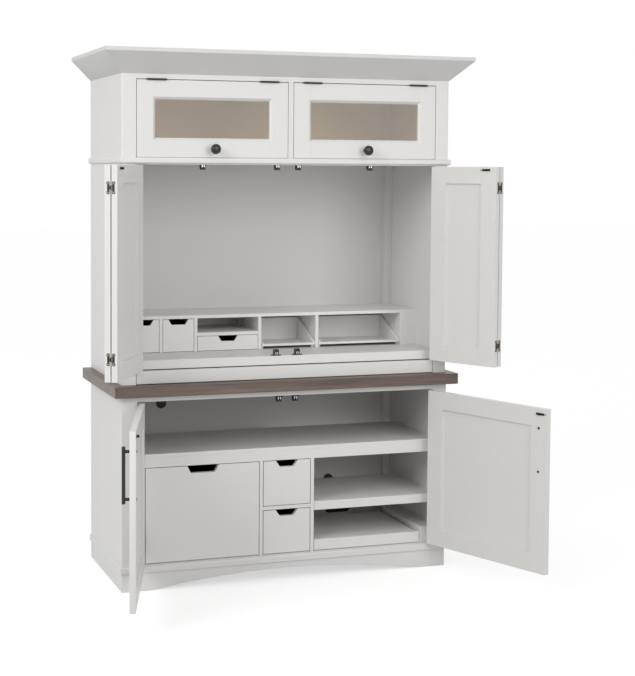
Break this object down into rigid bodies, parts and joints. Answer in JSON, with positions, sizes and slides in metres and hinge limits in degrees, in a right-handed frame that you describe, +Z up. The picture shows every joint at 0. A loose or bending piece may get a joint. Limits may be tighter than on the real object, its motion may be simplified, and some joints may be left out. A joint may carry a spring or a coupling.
{
  "type": "computer armoire",
  "caption": "White painted computer armoire with a wood counter, folding and glass hutch doors, desk organizer, file and keyboard drawers.",
  "frame": {"origin": "on the floor, at the middle of the cabinet's back, on the underside of the back kick rail", "axes": "+X to the cabinet's right as seen from the front, +Y to the back, +Z up"},
  "size_m": [1.5013, 1.0489, 1.8796],
  "materials": {
    "painted_wood": "satin off-white paint",
    "painted_panel": "satin off-white paint on panel",
    "counter_wood": "satin weathered brown stain",
    "black_metal": "matte black",
    "antique_metal": "dark antique bronze",
    "slide_steel": "black coated steel",
    "pin_steel": "nickel plated",
    "clear_glass": "clear"
  },
  "bodies": {
    "cabinet": {"base_side_left": "painted_wood", "base_side_right": "painted_wood", "base_back_panel": "painted_panel", "base_bottom_panel": "painted_wood", "base_face_frame": "painted_wood", "base_valance": "painted_wood", "base_cap_moulding": "painted_wood", "back_framing": "painted_wood", "base_deck": "painted_wood", "base_deck_rail": "painted_wood", "base_dividers": "painted_wood", "adjustable_shelf": "painted_wood", "shelf_pins": "pin_steel", "slide_spacers": "painted_wood", "countertop": "counter_wood", "hutch_side_left": "painted_wood", "hutch_side_right": "painted_wood", "hutch_back_panel": "painted_panel", "hutch_face_frame": "painted_wood", "hutch_mid_shelf": "painted_wood", "hutch_top_panel": "painted_wood", "work_surface": "painted_wood", "belt_moulding": "painted_wood", "crown_moulding": "painted_wood", "organizer_case": "painted_wood", "slide_channels": "slide_steel", "ball_catches": "black_metal", "hinge_leaves_fixed": "black_metal"},
    "keyboard_drawer_body": {"keyboard_drawer": "painted_wood", "keyboard_drawer_slides": "slide_steel"},
    "file_drawer_body": {"file_drawer": "painted_wood", "file_drawer_slides": "slide_steel"},
    "small_drawer_upper_body": {"small_drawer_upper": "painted_wood"},
    "small_drawer_lower_body": {"small_drawer_lower": "painted_wood"},
    "printer_tray_body": {"printer_tray": "painted_wood", "printer_tray_slides": "slide_steel"},
    "organizer_drawer_left_body": {"organizer_drawer_left": "painted_wood"},
    "organizer_drawer_middle_body": {"organizer_drawer_middle": "painted_wood"},
    "organizer_drawer_low_body": {"organizer_drawer_low": "painted_wood"},
    "letter_tray_left_body": {"letter_tray_left": "painted_wood"},
    "letter_tray_right_body": {"letter_tray_right": "painted_wood"},
    "base_door_left_body": {"base_door_left": "painted_wood", "base_door_left_hardware": "black_metal"},
    "bifold_left_inner_body": {"bifold_left_inner": "painted_wood", "bifold_left_inner_hardware": "black_metal"},
    "bifold_left_outer_body": {"bifold_left_outer": "painted_wood", "bifold_left_outer_hardware": "antique_metal"},
    "glass_door_left_body": {"glass_door_left": "painted_wood", "glass_pane_left": "clear_glass", "glass_door_left_hardware": "black_metal"},
    "base_door_right_body": {"base_door_right": "painted_wood", "base_door_right_hardware": "black_metal"},
    "bifold_right_inner_body": {"bifold_right_inner": "painted_wood", "bifold_right_inner_hardware": "black_metal"},
    "bifold_right_outer_body": {"bifold_right_outer": "painted_wood", "bifold_right_outer_hardware": "antique_metal"},
    "glass_door_right_body": {"glass_door_right": "painted_wood", "glass_pane_right": "clear_glass", "glass_door_right_hardware": "black_metal"}
  },
  "joints": [
    {"name": "base_door_left_hinge", "type": "hinge", "parent": "cabinet", "child": "base_door_left_body", "pos_m": [-0.5581, -0.5097, 0.3748], "axis": [0, 0, -1], "range_deg": [-107, 63]},
    {"name": "base_door_right_hinge", "type": "hinge", "parent": "cabinet", "child": "base_door_right_body", "pos_m": [0.5581, -0.5097, 0.3748], "axis": [0, 0, 1], "range_deg": [-111, 59]},
    {"name": "bifold_left_hinge", "type": "hinge", "parent": "cabinet", "child": "bifold_left_inner_body", "pos_m": [-0.5616, -0.5037, 1.1275], "axis": [0, 0, -1], "range_deg": [-121, 0]},
    {"name": "bifold_right_hinge", "type": "hinge", "parent": "cabinet", "child": "bifold_right_inner_body", "pos_m": [0.5616, -0.5037, 1.1275], "axis": [0, 0, 1], "range_deg": [-116.5, 0]},
    {"name": "bifold_left_fold", "type": "hinge", "parent": "bifold_left_inner_body", "child": "bifold_left_outer_body", "pos_m": [-0.70974, -0.75394, 1.1275], "axis": [0, 0, -1], "range_deg": [-180, 0]},
    {"name": "bifold_right_fold", "type": "hinge", "parent": "bifold_right_inner_body", "child": "bifold_right_outer_body", "pos_m": [0.68965, -0.7648, 1.1275], "axis": [0, 0, 1], "range_deg": [-180, 0]},
    {"name": "glass_door_left_hinge", "type": "hinge", "parent": "cabinet", "child": "glass_door_left_body", "pos_m": [-0.28615, -0.5037, 1.7768], "axis": [-1, 0, 0], "range_deg": [0, 90]},
    {"name": "glass_door_right_hinge", "type": "hinge", "parent": "cabinet", "child": "glass_door_right_body", "pos_m": [0.28615, -0.5037, 1.7768], "axis": [-1, 0, 0], "range_deg": [0, 90]},
    {"name": "keyboard_drawer_slide", "type": "slide", "parent": "cabinet", "child": "keyboard_drawer_body", "axis": [0, -1, 0], "range_m": [0, 0.3]},
    {"name": "file_drawer_slide", "type": "slide", "parent": "cabinet", "child": "file_drawer_body", "axis": [0, -1, 0], "range_m": [0, 0.33]},
    {"name": "small_drawer_upper_slide", "type": "slide", "parent": "cabinet", "child": "small_drawer_upper_body", "axis": [0, -1, 0], "range_m": [0, 0.25]},
    {"name": "small_drawer_lower_slide", "type": "slide", "parent": "cabinet", "child": "small_drawer_lower_body", "axis": [0, -1, 0], "range_m": [0, 0.25]},
    {"name": "printer_tray_slide", "type": "slide", "parent": "cabinet", "child": "printer_tray_body", "axis": [0, -1, 0], "range_m": [0, 0.28]},
    {"name": "organizer_drawer_left_slide", "type": "slide", "parent": "cabinet", "child": "organizer_drawer_left_body", "axis": [0, -1, 0], "range_m": [0, 0.165]},
    {"name": "organizer_drawer_middle_slide", "type": "slide", "parent": "cabinet", "child": "organizer_drawer_middle_body", "axis": [0, -1, 0], "range_m": [0, 0.165]},
    {"name": "organizer_drawer_low_slide", "type": "slide", "parent": "cabinet", "child": "organizer_drawer_low_body", "axis": [0, -1, 0], "range_m": [0, 0.165]},
    {"name": "letter_tray_left_slide", "type": "slide", "parent": "cabinet", "child": "letter_tray_left_body", "axis": [0, -1, 0], "range_m": [0, 0.165]},
    {"name": "letter_tray_right_slide", "type": "slide", "parent": "cabinet", "child": "letter_tray_right_body", "axis": [0, -1, 0], "range_m": [0, 0.165]}
  ],
  "couplings": [
    {"joint": "bifold_left_fold", "follows": "bifold_left_hinge", "ratio": 1.4876},
    {"joint": "bifold_right_fold", "follows": "bifold_right_hinge", "ratio": 1.5451}
  ]
}
